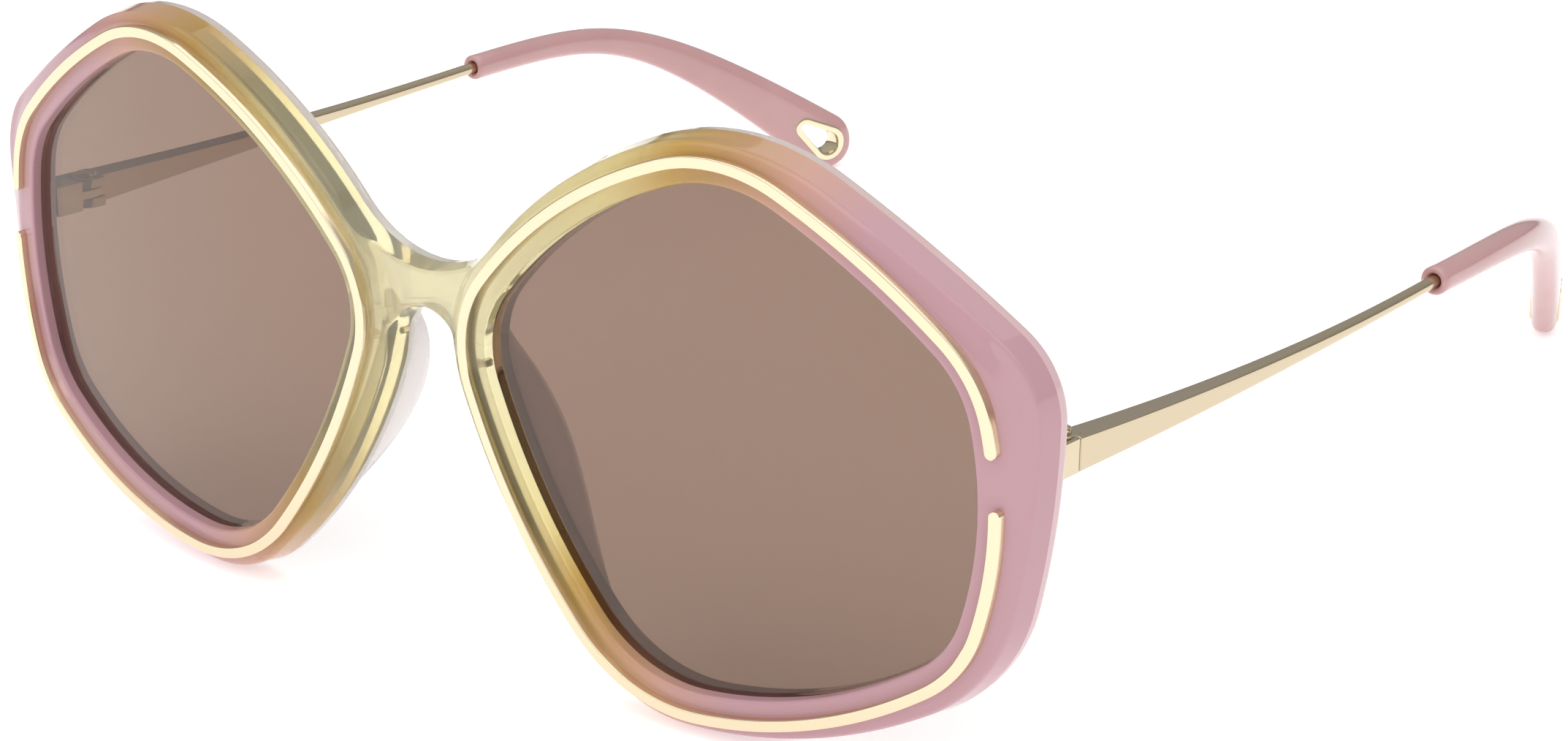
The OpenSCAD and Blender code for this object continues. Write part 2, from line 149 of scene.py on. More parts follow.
class FiveSided:
    """Convex outline of five corner arcs and five side arcs; points(d) is the outline grown by d."""

    def __init__(self, corners, sides):
        self.c = [np.array(k[:2], float) + [HALF_PITCH, 0] for k in corners]
        self.r = [k[2] for k in corners]
        self.big = sides
        self.s = []
        for i in range(5):
            a, b = self.c[i], self.c[(i + 1) % 5]
            ra, rb = sides[i] - self.r[i], sides[i] - self.r[(i + 1) % 5]
            length = np.linalg.norm(b - a)
            u = (b - a) / length
            t = (ra * ra - rb * rb + length * length) / (2 * length)
            self.s.append(a + u * t + np.array([-u[1], u[0]]) * math.sqrt(ra * ra - t * t))
        # angles at which each side's arc starts and ends
        self.start = [angle(self.c[i] - self.s[i]) for i in range(5)]
        self.stop = [after(self.start[i], angle(self.c[(i + 1) % 5] - self.s[i])) for i in range(5)]

    def corner_span(self, i):
        a = self.stop[(i + 4) % 5]
        b = self.start[i]
        a = math.atan2(math.sin(a), math.cos(a))
        return a, after(a, b)

    def side(self, i, d, step):
        n = max(3, int(round(self.big[i] * (self.stop[i] - self.start[i]) / step)))
        return arc(self.s[i], self.big[i] + d, self.start[i], self.stop[i], n)

    def corner(self, i, d, step, a=None):
        """A corner's arc grown by d; a replaces the angle at which it starts."""
        span_start, b = self.corner_span(i)
        a = span_start if a is None else a
        n = max(3, int(round(self.r[i] * (b - a) / step)))
        return arc(self.c[i], self.r[i] + d, a, b, n)

    def points(self, d, step=0.8):
        arcs = [part for i in range(5) for part in (self.corner(i, d, step), self.side(i, d, step))]
        return np.concatenate(arcs)


STRIP = FiveSided(STRIP_CORNERS, STRIP_SIDES)
RIM = FiveSided(RIM_CORNERS, RIM_SIDES)
CENTRE = np.array([HALF_PITCH + CENTRE_OUT, CENTRE_HEIGHT])


def radial(outline, angles):
    """Points of a closed outline seen from CENTRE at the given angles."""
    v = outline - CENTRE
    a = np.arctan2(v[:, 1], v[:, 0])
    r = np.hypot(v[:, 0], v[:, 1])
    k = np.argsort(a)
    rr = np.interp(angles, a[k], r[k], period=2 * math.pi)
    return CENTRE + np.stack([np.cos(angles), np.sin(angles)], 1) * rr[:, None]


def blend_r(c, r, rise):
    """Radius of the arc on the middle plane that touches a rim arc with centre c and radius r."""
    return (c[0] ** 2 + rise ** 2 - r ** 2) / (2 * (r - rise))


# saddle above the bridge and arch below it: one runs into the rims' top sides, one into their nose corners
NOSE_C, NOSE_R = RIM.c[0], RIM.r[0]
TOP_C, TOP_R = RIM.s[4], RIM.big[4]
SADDLE_R = blend_r(TOP_C, TOP_R + RIM_FLARE, BRIDGE_TOP - TOP_C[1])
ARCH_R = blend_r(NOSE_C, NOSE_R + RIM_FLARE, NOSE_C[1] - BRIDGE_UNDER)
SADDLE_C = np.array([0.0, BRIDGE_TOP + SADDLE_R])
ARCH_C = np.array([0.0, BRIDGE_UNDER - ARCH_R])


def half_outline(d):
    """Outer edge of the left half of the front grown by d, counter-clockwise from the arch's top at x = 0,
    and the number of steps down the middle plane that close it."""
    arch_r, saddle_r = ARCH_R + RIM_FLARE - d, SADDLE_R + RIM_FLARE - d
    from_arch = angle(ARCH_C - NOSE_C) + 2 * math.pi
    parts = [arc(ARCH_C, arch_r, math.pi / 2, angle(NOSE_C - ARCH_C), ARCH_POINTS)]
    parts += [RIM.corner(0, d, EDGE_STEP, from_arch), RIM.side(0, d, EDGE_STEP)]
    for i in range(1, 4):
        parts += [RIM.corner(i, d, EDGE_STEP), RIM.side(i, d, EDGE_STEP)]
    parts.append(RIM.corner(4, d, EDGE_STEP))
    a, b = RIM.start[4], angle(SADDLE_C - TOP_C)
    parts.append(arc(TOP_C, TOP_R + d, a, after(a, b), TOP_POINTS))
    parts.append(arc(SADDLE_C, saddle_r, angle(TOP_C - SADDLE_C), -math.pi / 2, SADDLE_POINTS))
    z = np.linspace(SADDLE_C[1] - saddle_r, ARCH_C[1] + arch_r, CUT_POINTS)
    parts.append(np.stack([0 * z, z], 1)[:-1])
    return np.concatenate(parts), CUT_POINTS


# ---------------------------------------------------------------- mesh helpers
def shade(mesh, smooth_angle):
    """Smooth shading, with edges over an angle in degrees left sharp; None keeps none sharp."""
    for p in mesh.polygons:
        p.use_smooth = True
    if smooth_angle is not None:
        mesh.set_sharp_from_angle(angle=math.radians(smooth_angle))


def apply_modifiers(obj, smooth_angle):
    """Replaces an object's mesh by what its modifiers make of it."""
    dg = bpy.context.evaluated_depsgraph_get()
    mesh = bpy.data.meshes.new_from_object(obj.evaluated_get(dg))
    obj.modifiers.clear()
    obj.data = mesh
    shade(mesh, smooth_angle)


def new_object(name, verts, faces, smooth_angle=None, merge=1e-7):
    mesh = bpy.data.meshes.new(name)
    mesh.from_pydata([tuple(v) for v in verts], [], [tuple(f) for f in faces])
    bm = bmesh.new()
    bm.from_mesh(mesh)
    bmesh.ops.remove_doubles(bm, verts=bm.verts, dist=merge)
    bmesh.ops.dissolve_degenerate(bm, edges=bm.edges, dist=merge)
    bmesh.ops.recalc_face_normals(bm, faces=bm.faces)
    bm.to_mesh(mesh)
    bm.free()
    shade(mesh, smooth_angle)
    obj = bpy.data.objects.new(name, mesh)
    bpy.context.scene.collection.objects.link(obj)
    return obj


def mirrored(verts, faces):
    verts = np.asarray(verts) * [-1, 1, 1]
    return verts, [tuple(reversed(f)) for f in faces]


def rings_mesh(rings, close_path=False):
    """Skin over rings of equal length, capped at both ends unless the path closes on itself."""
    n, m = len(rings[0]), len(rings)
    verts = np.concatenate(rings)
    faces = []
    for j in range(m if close_path else m - 1):
        for i in range(n):
            a, b = j * n + i, j * n + (i + 1) % n
            c, d = ((j + 1) % m) * n + (i + 1) % n, ((j + 1) % m) * n + i
            faces.append((a, b, c, d))
    if not close_path:
        faces.append(tuple(range(n)))
        faces.append(tuple(reversed(range((m - 1) * n, m * n))))
    return verts, faces


def eased_steps(size):
    """(inset, run) of the three rows that round an edge."""
    return [(size, 0), (size * 0.3, size * 0.3), (0, size)]


def finish_piece(obj, body, mat, node):
    """Gives a piece its material and body, in place of a CAD node."""
    obj.data.materials.clear()
    obj.data.materials.append(mat)
    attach(obj, body)
    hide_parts(node)
    return obj


def both(name, builder, bodies, mat, node, smooth_angle):
    """A left piece and its mirror image."""
    made = []
    for side, body in zip(("left", "right"), bodies):
        verts, faces = builder()
        if side == "right":
            verts, faces = mirrored(verts, faces)
        obj = new_object(side + "_" + name, place(verts), faces, smooth_angle)
        finish_piece(obj, body, mat, side + "_" + node)
        made.append(obj)
    return made


# ---------------------------------------------------------------- materials
def material(name, **values):
    mat = bpy.data.materials.new(name)
    mat.use_nodes = True
    bsdf = mat.node_tree.nodes["Principled BSDF"]
    for key, value in values.items():
        bsdf.inputs[key.replace("_", " ")].default_value = value
    return mat, mat.node_tree, bsdf


def math_node(tree, op, a, b=None, c=None, clamp=False):
    """A Math node over numbers and sockets; returns its output."""
    node = tree.nodes.new("ShaderNodeMath")
    node.operation = op
    node.use_clamp = clamp
    for k, v in enumerate((a, b, c)):
        if v is None:
            continue
        if isinstance(v, (int, float)):
            node.inputs[k].default_value = v
        else:
            tree.links.new(v, node.inputs[k])
    return node.outputs[0]


def ramp(tree, fac, stops):
    """Colours along a value, straight between the stops, each (position, colour)."""
    node = tree.nodes.new("ShaderNodeValToRGB")
    node.color_ramp.interpolation = "LINEAR"
    elements = node.color_ramp.elements
    while len(elements) > 1:
        elements.remove(elements[-1])
    elements[0].position = stops[0][0]
    elements[0].color = (*stops[0][1], 1)
    for position, colour in stops[1:]:
        elements.new(position).color = (*colour, 1)
    tree.links.new(fac, node.inputs[0])
    return node.outputs[0]


def noise(tree, scale, detail=2.0):
    """Noise over the object's own coordinates."""
    co = tree.nodes.new("ShaderNodeTexCoord")
    node = tree.nodes.new("ShaderNodeTexNoise")
    node.inputs["Scale"].default_value = scale
    node.inputs["Detail"].default_value = detail
    tree.links.new(co.outputs["Object"], node.inputs["Vector"])
    return node.outputs["Fac"]


def srgb(r, g, b):
    """A linear colour from display levels, 0 to 255."""
    def lin(v):
        v /= 255
        return v / 12.92 if v <= 0.04045 else ((v + 0.055) / 1.055) ** 2.4
    return lin(r), lin(g), lin(b)


def absorption(tree, colour, density):
    """Colour that deepens with the thickness of the plastic."""
    vol = tree.nodes.new("ShaderNodeVolumeAbsorption")
    vol.inputs["Color"].default_value = (*colour, 1)
    vol.inputs["Density"].default_value = density
    out = next(n for n in tree.nodes if n.type == "OUTPUT_MATERIAL")
    tree.links.new(vol.outputs[0], out.inputs["Volume"])


# the fade: how far out it starts and how long it is, the height at which that holds, and its slant
FADE_START, FADE_LENGTH, FADE_HEIGHT, FADE_SLANT = 1.5, 60.0, 20.0, 0.3


def across_front(tree):
    """Where a point lies on the fade from the bridge outwards, 0 to 1; higher up, the clear part reaches
    further out."""
    co = tree.nodes.new("ShaderNodeTexCoord")
    sep = tree.nodes.new("ShaderNodeSeparateXYZ")
    tree.links.new(co.outputs["Object"], sep.inputs[0])
    out = math_node(tree, "ABSOLUTE", math_node(tree, "SUBTRACT", sep.outputs[0], FADE_START * MM))
    rise = math_node(tree, "SUBTRACT", sep.outputs[2], FADE_HEIGHT * MM)
    out = math_node(tree, "SUBTRACT", out, math_node(tree, "MULTIPLY", rise, FADE_SLANT))
    return math_node(tree, "DIVIDE", out, FADE_LENGTH * MM, clamp=True)


def fade_clearness(tree, bsdf, fac, start, fall, low, high):
    """Lets less light through along the fade, between two limits."""
    clear = math_node(tree, "MULTIPLY_ADD", fac, -fall, start)
    clear = math_node(tree, "MINIMUM", math_node(tree, "MAXIMUM", clear, low), high)
    tree.links.new(clear, bsdf.inputs["Transmission Weight"])


def graded_acetate():
    """Clear yellow at the bridge, tan further out, milky pink at the sides."""
    mat, tree, bsdf = material("graded_acetate", Roughness=0.06, IOR=1.32, Coat_Weight=0.25,
                               Coat_Roughness=0.1)
    fac = across_front(tree)
    colour = ramp(tree, fac, [
        (0.0, (1.0, 0.96, 0.74)), (0.22, (0.99, 0.90, 0.52)), (0.35, srgb(226, 188, 108)),
        (0.46, srgb(214, 168, 122)), (0.58, srgb(203, 156, 142)), (0.72, srgb(195, 152, 160))])
    tree.links.new(colour, bsdf.inputs["Base Color"])
    fade_clearness(tree, bsdf, fac, 1.38, 2.4, 0.0, 0.82)
    absorption(tree, (0.99, 0.86, 0.25), 38.0)
    return mat


def pad_acetate():
    """Translucent pale pink, with the slight waviness of a polished surface."""
    mat, tree, bsdf = material("pad_acetate", Roughness=0.12, IOR=1.35, Coat_Weight=0.3, Coat_Roughness=0.03)
    bsdf.inputs["Base Color"].default_value = (0.96, 0.90, 0.89, 1)
    bsdf.inputs["Transmission Weight"].default_value = 0.45
    bump = tree.nodes.new("ShaderNodeBump")
    bump.inputs["Strength"].default_value = 0.02
    bump.inputs["Distance"].default_value = 0.0002
    tree.links.new(noise(tree, 60.0), bump.inputs["Height"])
    tree.links.new(bump.outputs[0], bsdf.inputs["Normal"])
    return mat


def rear_acetate():
    """Milky pink, paler and clearer towards the bridge."""
    mat, tree, bsdf = material("rear_acetate", Roughness=0.08, IOR=1.35, Coat_Weight=0.3, Coat_Roughness=0.03)
    fac = across_front(tree)
    colour = ramp(tree, fac, [
        (0.0, (0.99, 0.96, 0.91)), (0.4, (0.96, 0.89, 0.85)), (0.77, srgb(231, 200, 198)),
        (1.0, srgb(226, 192, 196))])
    tree.links.new(colour, bsdf.inputs["Base Color"])
    fade_clearness(tree, bsdf, fac, 0.85, 0.9, 0.1, 0.6)
    return mat


# whole range of a plating's roughness
GOLD_SPREAD = 0.08


def gold(name, colour, roughness):
    """Polished plating whose roughness varies a little round its mean."""
    mat, tree, bsdf = material(name, Metallic=1.0, Roughness=roughness)
    bsdf.inputs["Base Color"].default_value = (*colour, 1)
    least = roughness - GOLD_SPREAD / 2
    varied = math_node(tree, "MULTIPLY_ADD", noise(tree, 900.0, 3.0), GOLD_SPREAD, least)
    tree.links.new(varied, bsdf.inputs["Roughness"])
    return mat


def lens_tint():
    """An even brown tint, clear and polished."""
    mat, _, bsdf = material("brown_lens", Roughness=0.0, IOR=1.5)
    bsdf.inputs["Base Color"].default_value = (0.235, 0.146, 0.105, 1)
    bsdf.inputs["Transmission Weight"].default_value = 1.0
    return mat


def tip_plastic():
    """Opaque dusty pink with a slight mottle."""
    mat, tree, bsdf = material("dusty_pink_plastic", Roughness=0.22, IOR=1.49, Coat_Weight=0.5,
                               Coat_Roughness=0.08)
    colour = ramp(tree, noise(tree, 120.0), [(0.3, srgb(191, 147, 147)), (0.7, srgb(197, 154, 153))])
    tree.links.new(colour, bsdf.inputs["Base Color"])
    bsdf.inputs["Subsurface Weight"].default_value = 0.15
    bsdf.inputs["Subsurface Radius"].default_value = (0.003, 0.0015, 0.0012)
    bsdf.inputs["Subsurface Scale"].default_value = 1.0
    return mat


FRONT_MAT = graded_acetate()
REAR_MAT = rear_acetate()
PAD_MAT = pad_acetate()
STRIP_GOLD = gold("strip_gold", (0.82, 0.70, 0.49), 0.16)
HINGE_GOLD = gold("hinge_gold", (0.64, 0.54, 0.38), 0.20)
TEMPLE_GOLD = gold("temple_gold", (0.60, 0.50, 0.35), 0.16)
LENS_MAT = lens_tint()
TIP_MAT = tip_plastic()


# ---------------------------------------------------------------- the plastic front
# how near the outer edge the rim's line joins it, and where the extra rows of the walls lie, millimetres
RIM_SNAP, WALL_ROW, OPENING_ROW, BACK_ROW = 0.02, 1.2, 1.0, 0.1


def smooth_step(t):
    t = np.clip(t, 0, 1)
    return t * t * (3 - 2 * t)


def rim_gap(points):
    """Distance of points near the nose beyond the rim's outline; negative inside it."""
    a0, a1 = RIM.corner_span(0)
    a = np.mod(np.arctan2(*(points - NOSE_C).T[::-1]), 2 * math.pi)
    gap = np.hypot(*(points - NOSE_C).T) - NOSE_R
    gap = np.where(a < a0, np.hypot(*(points - TOP_C).T) - TOP_R, gap)
    gap = np.where(a > a1, np.hypot(*(points - RIM.s[0]).T) - RIM.big[0], gap)
    return np.where(points[:, 0] < NOSE_C[0], gap, -5)


def front_offset(points):
    """Depth of the front face at points (x, z): lower outside the strip and stepped back on the bridge."""
    v = points - CENTRE
    a = np.arctan2(v[:, 1], v[:, 0])
    strip_r = np.linalg.norm(radial(STRIP.points(STRIP_HALF), a) - CENTRE, axis=1)
    beyond = np.hypot(v[:, 0], v[:, 1]) - strip_r
    fall = np.clip(FALL_SLOPE * np.maximum(beyond - 0.2, 0), 0, FALL_DEPTH)
    on_bridge = smooth_step((rim_gap(points) + 0.3) / 1.5)
    return FRAME_FRONT + fall * (1 - on_bridge) + BRIDGE_RECESS * on_bridge


def lift(points, offset):
    """Points (x, z) at a depth behind the curved reference surface, as x, y, z."""
    return leaned(np.stack([points[:, 0], surface_y(points[:, 0]) + offset, points[:, 1]], 1))


def front_half(outer_rows, inner_rows, front, back):
    """Left half of a plate between a front face and a flat back. outer_rows and inner_rows run from front to
    back round the outer edge and the opening, each (growth, depth, extra). Where a depth is None, the row
    follows the front face, extra behind it."""
    base, cut = half_outline(0)
    n = len(base)
    v = base - CENTRE
    angles = np.arctan2(v[:, 1], v[:, 0])
    rings, wall = [], []

    def add(points, depth, extra=0, is_wall=False):
        depth = front(points) + extra if depth is None else depth
        rings.append(lift(points, depth))
        wall.append(is_wall)

    def opening(d):
        return radial(STRIP.points(-OPENING_IN - d, FINE_STEP), angles)

    for d, depth, extra in reversed(inner_rows):
        add(opening(d), depth, extra)
    inside, outside = opening(inner_rows[0][0]), half_outline(outer_rows[0][0])[0]
    rim = radial(RIM.points(outer_rows[0][0], FINE_STEP), angles)
    reach = np.linalg.norm(outside - CENTRE, axis=1) - RIM_SNAP
    far = np.linalg.norm(rim - CENTRE, axis=1) > reach
    rim[far] = outside[far]
    for t in np.linspace(0, 1, FACE_ROWS + 1)[1:]:
        add(inside + (rim - inside) * t, None)
    for t in np.linspace(0, 1, SLOPE_ROWS + 1)[1:-1]:
        add(rim + (outside - rim) * t, None)
    for d, depth, extra in outer_rows:
        add(half_outline(d)[0], depth, extra, True)
    outside, inside = half_outline(outer_rows[-1][0])[0], opening(inner_rows[-1][0])
    for t in np.linspace(0, 1, BACK_ROWS + 1)[1:-1]:
        add(outside + (inside - outside) * t, back)
    m = len(rings)
    verts = np.concatenate(rings)
    on_cut = [i >= n - cut + 1 or i == 0 for i in range(n)]
    faces = []
    for j in range(m):
        jj = (j + 1) % m
        for i in range(n):
            ii = (i + 1) % n
            if on_cut[i] and on_cut[ii] and wall[j] and wall[jj]:
                continue
            faces.append((j * n + i, j * n + ii, jj * n + ii, jj * n + i))
    return verts, faces


def face_bevel(radius):
    """Rows that round the edge from the front face to the wall."""
    turns = [math.pi / 2 * k / BEVEL_STEPS for k in range(BEVEL_STEPS + 1)]
    return [(-radius * (1 - math.sin(g)), None, radius * (1 - math.cos(g))) for g in turns]


def back_bevel(radius, depth, growth=0.0):
    """Rows that round the edge from the wall to a flat back at a depth."""
    turns = [math.pi / 2 * k / BEVEL_STEPS for k in range(BEVEL_STEPS + 1)]
    return [(growth - radius * (1 - math.cos(g)), depth - radius * (1 - math.sin(g)), 0) for g in turns]


def whole(name, verts, faces, smooth_angle):
    """A half and its mirror image joined on the middle plane."""
    other, flipped = mirrored(verts, faces)
    n = len(verts)
    faces = list(faces) + [tuple(i + n for i in f) for f in flipped]
    return new_object(name, place(np.concatenate([verts, other])), faces, smooth_angle, merge=2e-6)


def build_front():
    outer = face_bevel(FRONT_EASE)
    outer += [(RIM_FLARE * 0.5, FRAME_MID - WALL_ROW, 0), (RIM_FLARE, FRAME_MID, 0)]
    inner = face_bevel(OPENING_EASE) + [(0.0, FRAME_MID - OPENING_ROW, 0), (0.0, FRAME_MID, 0)]
    verts, faces = front_half(outer, inner, front_offset, FRAME_MID)
    finish_piece(whole("front_plastic", verts, faces, 40), "front", FRONT_MAT, "front_frame")


def build_rear():
    face = FRAME_MID + LAYER_GAP
    outer = [(RIM_FLARE, face, 0), (RIM_FLARE, FRAME_BACK - REAR_EASE - BACK_ROW, 0)]
    outer += back_bevel(REAR_EASE, FRAME_BACK, RIM_FLARE)
    inner = [(0.0, face, 0), (0.0, FRAME_BACK - REAR_OPENING_EASE - BACK_ROW, 0)]
    inner += back_bevel(REAR_OPENING_EASE, FRAME_BACK)
    verts, faces = front_half(outer, inner, lambda points: np.full(len(points), face), FRAME_BACK)
    finish_piece(whole("rear_plastic", verts, faces, 40), "front", REAR_MAT, "rear_laminate")


# ---------------------------------------------------------------- lenses and strips
def lens_shape():
    edge = STRIP.points(LENS_LAP - OPENING_IN, LENS_STEP)
    grown = [CENTRE + (edge - CENTRE) * max(t, 0.002) for t in np.linspace(0, 1, LENS_RINGS)]
    rings = [lift(p, LENS_FRONT) for p in grown]
    rings += [lift(p, LENS_FRONT + LENS_T) for p in reversed(grown)]
    return rings_mesh(rings)


# how far out the temple side of a rim starts, millimetres, and the rings of a strip's rounded end
TEMPLE_SIDE, END_RINGS = 20, 6


def strip_path():
    """Centre line of the strip, from its upper end over the top and round to its lower end, and its outward
    normals."""
    pts = STRIP.points(0, STRIP_STEP)
    nrm = STRIP.points(1, STRIP_STEP) - pts
    nrm /= np.linalg.norm(nrm, axis=1)[:, None]
    outer = pts[:, 0] > HALF_PITCH + TEMPLE_SIDE
    gap = outer & (pts[:, 1] > STRIP_END_LOW) & (pts[:, 1] < STRIP_END_HIGH)
    start = np.where(gap)[0][-1] + 1
    order = np.roll(np.arange(len(pts)), -start)
    keep = order[~gap[order]]
    return pts[keep], nrm[keep]


def strip_shape():
    half, deep, ease = STRIP_HALF, FRAME_FRONT + CHANNEL_DEPTH, STRIP_EASE
    side = [(-1, deep), (-1, ease)]
    side += [(-1 + (1 - math.cos(g)) * ease / half, ease * (1 - math.sin(g))) for g in (0.5, 1.1)]
    side += [(-1 + ease / half, 0.0), (-0.5, 0.0)]
    section = side + [(0, 0.0)] + [(-offset, depth) for offset, depth in reversed(side)]
    depths = np.array([depth for _, depth in section])

    def ring(p, n, reach):
        return lift(np.stack([p + n * offset * reach for offset, _ in section]), depths)

    def rounded_end(p, n, ahead, turns):
        runs = [half * math.cos(g * math.pi / 2) for g in turns]
        return [ring(p + ahead * run, n, math.sqrt(max(half * half - run * run, 1e-4))) for run in runs]

    pts, nrm = strip_path()
    turns = np.linspace(0.08, 1.0, END_RINGS)
    rings = rounded_end(pts[0], nrm[0], unit(pts[0] - pts[1]), turns)
    rings += [ring(p, n, half) for p, n in zip(pts[1:-1], nrm[1:-1])]
    rings += rounded_end(pts[-1], nrm[-1], unit(pts[-1] - pts[-2]), turns[::-1])
    return rings_mesh(rings)


# ---------------------------------------------------------------- nose pads
PAD_TOP, PAD_BOTTOM, PAD_H, PAD_HALF = -4.5, -34.5, 6.1, 1.7
PAD_OUT, PAD_SUNK, PAD_END_WIDTH, PAD_SQUARE = 0.6, 0.6, 0.45, 2.2


def nose_x(z):
    """x of the strip's centre line on its nose side at a height z."""
    k, r = STRIP.c[0], STRIP.r[0]
    s, big = STRIP.s[0], STRIP.big[0]
    t = s + unit(k - s) * big
    if z > t[1]:
        return k[0] - math.sqrt(r * r - (z - k[1]) ** 2)
    return s[0] - math.sqrt(big * big - (z - s[1]) ** 2)


def pad_base(u):
    """Foot of the pad, sunk into the rear layer; u runs from its top, 0, to its bottom, 1."""
    z = PAD_TOP + (PAD_BOTTOM - PAD_TOP) * u
    x = nose_x(z) + PAD_OUT
    return np.array([x, float(surface_y(x)) + FRAME_BACK - PAD_SUNK, z])


def pad_tip(u):
    """Rear edge of the pad, which swells in the middle and leans towards the nose."""
    fin = PAD_H * max(math.sin(math.pi * u ** 0.86), 0) ** 1.1
    return pad_base(u) + [2.0 * u * u - 1.9 * u - 0.5, fin + PAD_SUNK, 0]


def bent(v, q):
    return np.sign(v) * np.abs(v) ** (2 / q)


def cross_section(p, a, b, q, n):
    """Ring of n points round p with half axes a and b: an ellipse at q = 2, squarer as q grows."""
    g = (np.arange(n) + 0.5) * 2 * math.pi / n
    return p + np.outer(bent(np.cos(g), q), a) + np.outer(bent(np.sin(g), q), b)


def pad_shape():
    rings = []
    for u in np.linspace(0.015, 0.985, PAD_RINGS):
        middle, depth = (pad_tip(u) + pad_base(u)) / 2, pad_tip(u) - pad_base(u)
        path = unit(pad_base(u + 0.01) - pad_base(u - 0.01))
        width = PAD_END_WIDTH + (1 - PAD_END_WIDTH) * math.sin(math.pi * u) ** 0.7
        side = unit(np.cross(path, depth)) * PAD_HALF * width
        rings.append(leaned(cross_section(middle, depth / 2, side, PAD_SQUARE, PAD_SIDES)))
    return rings_mesh(rings)


# ---------------------------------------------------------------- temple tips
END_DIR = np.array([-math.sin(TIP_TOE) * math.cos(TIP_PITCH), math.cos(TIP_TOE) * math.cos(TIP_PITCH),
                    -math.sin(TIP_PITCH)])
TIP_END = ROD_START + [-TIP_INWARD, TIP_RUN, -TIP_DROP]
# millimetres along each end's direction to the handles of the tip's curve
START_PULL, END_PULL = 26, 35
TIP_LINE = [ROD_START, ROD_START + [0, START_PULL, START_PULL * math.tan(ROD_SLOPE)],
            TIP_END - END_PULL * END_DIR, TIP_END]
# depth of the rod's bore, and how far the eyelet's cutter reaches to each side, millimetres
SLEEVE_DEPTH, HOLE_REACH = 3.0, 5


def curve(t):
    """Centre line of a tip, from the rod into the bend."""
    c = TIP_LINE
    return c[0] * (1 - t) ** 3 + 3 * c[1] * t * (1 - t) ** 2 + 3 * c[2] * t * t * (1 - t) + c[3] * t ** 3


def heading(t):
    c = TIP_LINE
    return unit((c[1] - c[0]) * (1 - t) ** 2 + 2 * (c[2] - c[1]) * t * (1 - t) + (c[3] - c[2]) * t * t)


def across(d):
    """Directions across a tip that runs along d: its thickness and its width."""
    s = unit([d[1], -d[0], 0])
    return s, np.cross(s, d)


def tip_shape():
    rings = []
    d = heading(0)
    s, w = across(d)
    # a bore close round the rod, then the front face with a rounded lip
    for r, back in ((ROD_R + ROD_GAP, SLEEVE_DEPTH), (ROD_R + ROD_GAP, 0.5), (ROD_R + 0.25, 0.12),
                    (ROD_R + 0.45, 0.0), (TIP_R - 0.3, 0.0), (TIP_R - 0.1, 0.1)):
        rings.append(cross_section(curve(0) + d * back, w * r, s * r, 2, TIP_SIDES))
    for t in np.linspace(0.004, 1, TIP_RINGS):
        s, w = across(heading(t))
        wide = TIP_R + (PADDLE_HALF - TIP_R) * t ** 3
        thick = TIP_R + (PADDLE_T - TIP_R) * t
        rings.append(cross_section(curve(t), w * wide, s * thick, 2 + t, TIP_SIDES))
    s, w = across(END_DIR)
    for g in np.radians(np.linspace(6, 88, TIP_END_RINGS)):
        middle = TIP_END + END_DIR * PADDLE_HALF * math.sin(g)
        thick = PADDLE_T * (0.3 + 0.7 * math.cos(g) ** 0.6)
        rings.append(cross_section(middle, w * PADDLE_HALF * math.cos(g), s * thick, 3, TIP_SIDES))
    return rings_mesh(rings)


def drop_outline(inset):
    """Teardrop outline in its own plane, x towards the tip's end."""
    lean = math.asin((EYELET_R - EYELET_SMALL) / EYELET_RUN)
    g = math.pi / 2 + lean
    big = arc((0, 0), EYELET_R - inset, -g, g, DROP_BIG_POINTS)
    tail = arc((-EYELET_RUN, 0), EYELET_SMALL - inset, g, 2 * math.pi - g, DROP_SMALL_POINTS)
    return np.concatenate([big, tail])


def on_paddle(flat, height):
    """Plane coordinates of the eyelet to design coordinates; height is along the paddle's thickness."""
    s, w = across(END_DIR)
    return TIP_END + flat[:, :1] * END_DIR + flat[:, 1:] * w + np.outer(np.broadcast_to(height, len(flat)), s)


def eyelet_shape():
    half = PADDLE_T + EYELET_PROUD
    edge = [(run, inset - half) for inset, run in eased_steps(EYELET_EASE)]
    rows = edge + [(EYELET_WALL - d, h) for d, h in reversed(edge)]
    rows += [(d, -h) for d, h in reversed(rows)]
    rings = [on_paddle(drop_outline(d), h) for d, h in rows]
    return rings_mesh(rings, close_path=True)


def pierce(obj, side):
    """Cuts the eyelet's hole through a tip."""
    verts, faces = rings_mesh([on_paddle(drop_outline(EYELET_LAP), h) for h in (-HOLE_REACH, HOLE_REACH)])
    if side == "right":
        verts, faces = mirrored(verts, faces)
    tool = new_object("cutter", place(verts), faces)
    mod = obj.modifiers.new("hole", "BOOLEAN")
    mod.operation, mod.object, mod.solver = "DIFFERENCE", tool, "EXACT"
    apply_modifiers(obj, 40)
    bpy.data.objects.remove(tool)


# ---------------------------------------------------------------- temples
def temple_point(u):
    """Centre line of the left temple from the hinge to the front of the tip, with its bow and sag."""
    start = np.array([HINGE_OUT - BLADE_T / 2, HINGE[1] + BLADE_GAP, HINGE[2]])
    return start + (ROD_START - start) * u + np.array([BLADE_BOW, 0, -BLADE_SAG]) * 4 * u * (1 - u)


def upright_section(p, tall, wide, square):
    return cross_section(p, np.array([0, 0, tall]), np.array([wide, 0, 0]), square, BLADE_SIDES)


